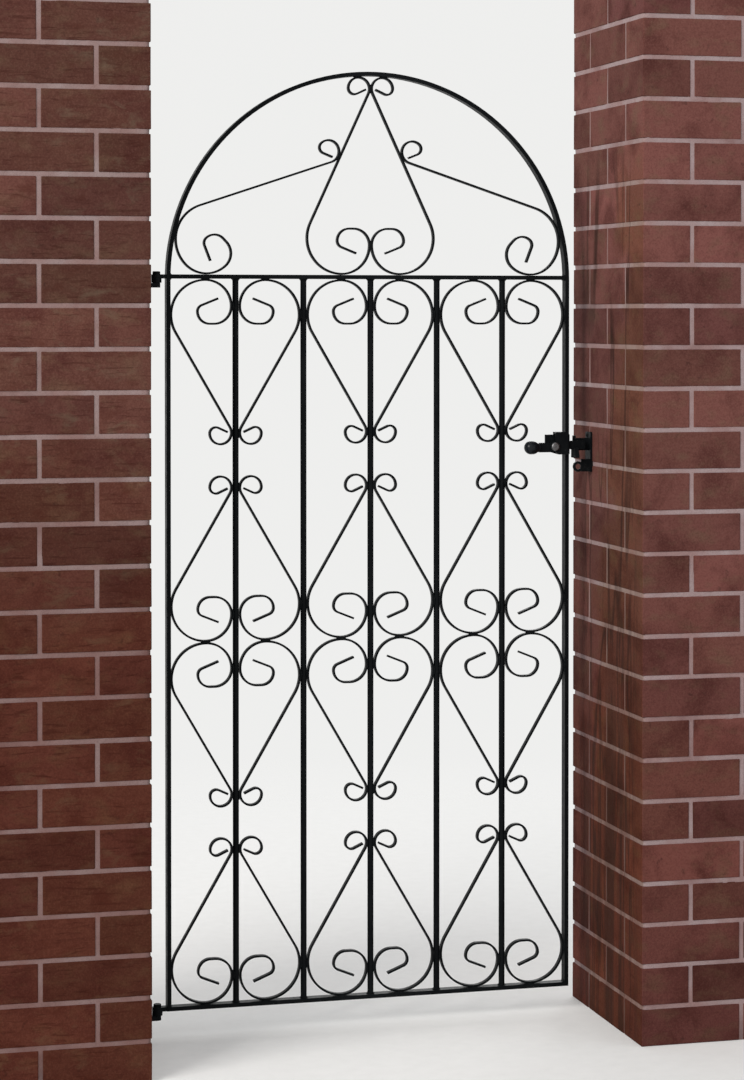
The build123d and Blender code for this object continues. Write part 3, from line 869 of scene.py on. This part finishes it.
# Studio
def floor_finish():
    """Pale floor that fades into the pale background, and glows a little for the camera alone."""
    made, tree, shader, place = new_material("floor_paint")
    speckle = noise_field(tree, place, 30.0, 5.0, 0.6)
    pale, paler = (0.80, 0.79, 0.77), (0.84, 0.83, 0.81)
    colour = blend_colour(tree, spread(tree, speckle, 0.3, 0.7), pale, paler)
    tree.links.new(colour, shader.inputs["Base Color"])
    shader.inputs["Roughness"].default_value = 0.9
    shader.inputs["Specular IOR Level"].default_value = 0.1
    shader.inputs["Emission Color"].default_value = (0.95, 0.95, 0.93, 1)
    seen_by_camera = tree.nodes.new("ShaderNodeLightPath").outputs["Is Camera Ray"]
    tree.links.new(product(tree, seen_by_camera, 0.16), shader.inputs["Emission Strength"])
    from_middle = tree.nodes.new("ShaderNodeVectorMath")
    from_middle.operation = "LENGTH"
    tree.links.new(place, from_middle.inputs[0])
    fade = spread(tree, from_middle.outputs["Value"], 0.9, 3.4, 1.0, 0.0)
    tree.links.new(fade, shader.inputs["Alpha"])
    return made


def lay_floor():
    """Round floor at ground level, 14 m in radius."""
    mesh = bpy.data.meshes.new("floor")
    sides, radius = 96, 14
    angles = [2 * math.pi * i / sides for i in range(sides)]
    rim = [(radius * math.cos(angle), radius * math.sin(angle), 0) for angle in angles]
    mesh.from_pydata(rim, [], [list(range(sides))])
    mesh.materials.append(floor_finish())
    floor = bpy.data.objects.new("floor", mesh)
    scene.collection.objects.link(floor)


def backlight(tree, colour, strength):
    """Even light of one colour."""
    light = tree.nodes.new("ShaderNodeBackground")
    light.inputs["Color"].default_value = (*colour, 1)
    light.inputs["Strength"].default_value = strength
    return light.outputs[0]


def pale_world():
    """Pale world: what lights the gate is plainer than what camera, gloss and glass show."""
    world = bpy.data.worlds.new("studio")
    scene.world = world
    world.use_nodes = True
    tree = world.node_tree
    tree.nodes.clear()
    rays = tree.nodes.new("ShaderNodeLightPath").outputs
    shiny = combine(tree, "MAXIMUM", rays["Is Glossy Ray"], rays["Is Transmission Ray"])
    seen = combine(tree, "MAXIMUM", rays["Is Camera Ray"], shiny)
    choose = tree.nodes.new("ShaderNodeMixShader")
    tree.links.new(seen, choose.inputs["Fac"])
    tree.links.new(backlight(tree, (0.95, 0.97, 1.0), 0.53), choose.inputs[1])
    tree.links.new(backlight(tree, (0.86, 0.86, 0.85), 1.0), choose.inputs[2])
    output = tree.nodes.new("ShaderNodeOutputWorld")
    tree.links.new(choose.outputs[0], output.inputs["Surface"])


def softbox(name, place, target_height, watts, colour=(1, 1, 1)):
    """Square lamp, 4 m wide, that faces a point over the middle of the floor."""
    lamp = bpy.data.lights.new(name, "AREA")
    lamp.shape = "SQUARE"
    lamp.size = 4.0
    lamp.energy = watts
    lamp.color = colour
    holder = bpy.data.objects.new(name, lamp)
    holder.location = place
    way = Vector((0, 0, target_height)) - Vector(place)
    holder.rotation_euler = way.to_track_quat("-Z", "Y").to_euler()
    scene.collection.objects.link(holder)


def photo_camera():
    """Camera at the photograph's viewing angle: level with the mid rail, 14.7 degrees to the gate."""
    camera = bpy.data.cameras.new("camera")
    camera.sensor_fit = "AUTO"
    camera.sensor_width = 36.0
    camera.lens = 92.21
    camera.shift_y = -0.1644
    camera.clip_end = 100.0
    holder = bpy.data.objects.new("camera", camera)
    holder.location = (-1.3592, -5.1722, 1.4026)
    holder.rotation_euler = (math.radians(89.0), 0.0, math.radians(-14.664))
    scene.collection.objects.link(holder)
    scene.camera = holder


# All of it put together
finishes = {
    "gate_paint": painted("gate_paint", (0.30, 0.46), 0.35 * MM, 0.7 * MM),
    "fitting_paint": painted("fitting_paint", (0.34, 0.52), 0.5 * MM, 0.6 * MM),
    "brick": brick_finish(),
    "bright_steel": bright_steel_finish(),
    "knob_plastic": knob_finish(),
}
mortar = mortar_finish()
weld_paint = painted("weld_paint", (0.28, 0.44), 0.6 * MM, 0.4 * MM)

dress_nodes(finishes)
for pier in ("left_pier", "right_pier"):
    lay_bricks(pier, finishes["brick"])
    fill_joints(pier, mortar)
weld_gate(weld_paint)
fasten_plates(finishes["fitting_paint"])

lay_floor()
pale_world()
softbox("key", (-6.0, -4.0, 4.8), 1.0, 430, (1.0, 0.98, 0.95))
softbox("fill", (5.0, -5.0, 3.0), 1.0, 30)
softbox("rear", (3.0, 6.0, 4.0), 1.2, 150)
photo_camera()
scene.view_settings.view_transform = "Standard"
